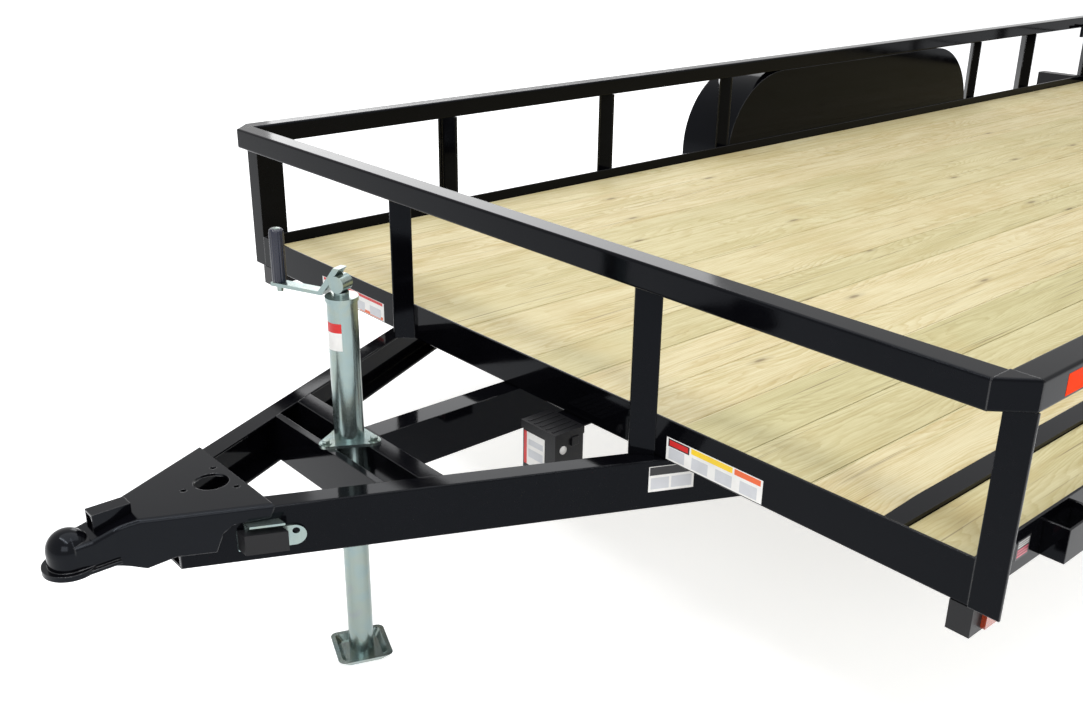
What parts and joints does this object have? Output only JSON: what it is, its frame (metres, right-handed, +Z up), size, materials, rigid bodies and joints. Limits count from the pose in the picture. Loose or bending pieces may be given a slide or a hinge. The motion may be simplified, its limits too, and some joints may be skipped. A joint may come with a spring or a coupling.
{
  "type": "tandem-axle utility trailer",
  "caption": "Open utility trailer with a plank deck, low tube side rails, fenders, an A-frame tongue on a screw jack, and a rear ramp gate.",
  "frame": {"origin": "on the ground, under the middle of the whole trailer's length and width", "axes": "+X to the trailer's left side, +Y to its rear, away from the coupler, +Z up"},
  "size_m": [2.59, 5.921, 1.751],
  "materials": {
    "black_paint": "gloss black powder coat",
    "deck_wood": "bare treated pine boards",
    "zinc_plate": "bright zinc plate",
    "coupler_paint": "satin black paint",
    "black_plastic": "moulded black plastic",
    "amber_lens": "clear amber plastic",
    "red_lens": "clear red plastic",
    "dark_steel": "satin black",
    "wheel_silver": "silver paint",
    "hub_iron": "painted cast iron",
    "tyre_rubber": "black tyre rubber"
  },
  "bodies": {
    "chassis": {"amber_lenses": "amber_lens", "axle_seats": "black_paint", "axles": "black_paint", "backing_plates": "dark_steel", "battery_box": "black_plastic", "battery_bracket": "black_paint", "battery_lid": "black_plastic", "breakaway_switch": "black_plastic", "corner_caps": "black_paint", "coupler": "coupler_paint", "coupler_latch": "coupler_paint", "cross_members": "black_paint", "deck_boards": "deck_wood", "deck_strip": "black_paint", "equalizers": "dark_steel", "fenders": "black_paint", "front_beam": "black_paint", "front_posts": "black_paint", "gate_hinges": "black_paint", "gate_latches": "black_paint", "jack_crank": "zinc_plate", "jack_grip": "black_plastic", "jack_head": "zinc_plate", "jack_tray": "black_paint", "jack_tube": "zinc_plate", "lamp_housings": "black_plastic", "leaf_springs": "dark_steel", "rear_beam": "black_paint", "red_lenses": "red_lens", "side_posts": "black_paint", "side_rails": "black_paint", "spring_hangers": "black_paint", "stake_pockets": "black_paint", "switch_tab": "zinc_plate", "tongue_rails": "black_paint", "tongue_stringer": "black_paint", "top_rail_front": "black_paint", "top_rails": "black_paint", "u_bolts": "zinc_plate"},
    "wheel_front_left": {"tyre_front_left": "tyre_rubber", "rim_front_left": "wheel_silver", "hub_front_left": "hub_iron"},
    "wheel_front_right": {"tyre_front_right": "tyre_rubber", "rim_front_right": "wheel_silver", "hub_front_right": "hub_iron"},
    "wheel_rear_left": {"tyre_rear_left": "tyre_rubber", "rim_rear_left": "wheel_silver", "hub_rear_left": "hub_iron"},
    "wheel_rear_right": {"tyre_rear_right": "tyre_rubber", "rim_rear_right": "wheel_silver", "hub_rear_right": "hub_iron"},
    "jack_leg": {"jack_leg": "zinc_plate"},
    "ramp_gate": {"gate_bars": "black_paint", "gate_frame": "black_paint"}
  },
  "joints": [
    {"name": "wheel_front_left_spin", "type": "hinge", "parent": "chassis", "child": "wheel_front_left", "pos_m": [1.184, 0.39514, 0.343], "axis": [1, 0, 0], "continuous": true},
    {"name": "wheel_front_right_spin", "type": "hinge", "parent": "chassis", "child": "wheel_front_right", "pos_m": [-1.184, 0.39514, 0.343], "axis": [1, 0, 0], "continuous": true},
    {"name": "wheel_rear_left_spin", "type": "hinge", "parent": "chassis", "child": "wheel_rear_left", "pos_m": [1.184, 1.24514, 0.343], "axis": [1, 0, 0], "continuous": true},
    {"name": "wheel_rear_right_spin", "type": "hinge", "parent": "chassis", "child": "wheel_rear_right", "pos_m": [-1.184, 1.24514, 0.343], "axis": [1, 0, 0], "continuous": true},
    {"name": "jack_slide", "type": "slide", "parent": "chassis", "child": "jack_leg", "axis": [0, 0, 1], "range_m": [-0.06, 0.25]},
    {"name": "ramp_gate_hinge", "type": "hinge", "parent": "chassis", "child": "ramp_gate", "pos_m": [0, 2.9415, 0.513], "axis": [-1, 0, 0], "range_deg": [0, 113]}
  ]
}
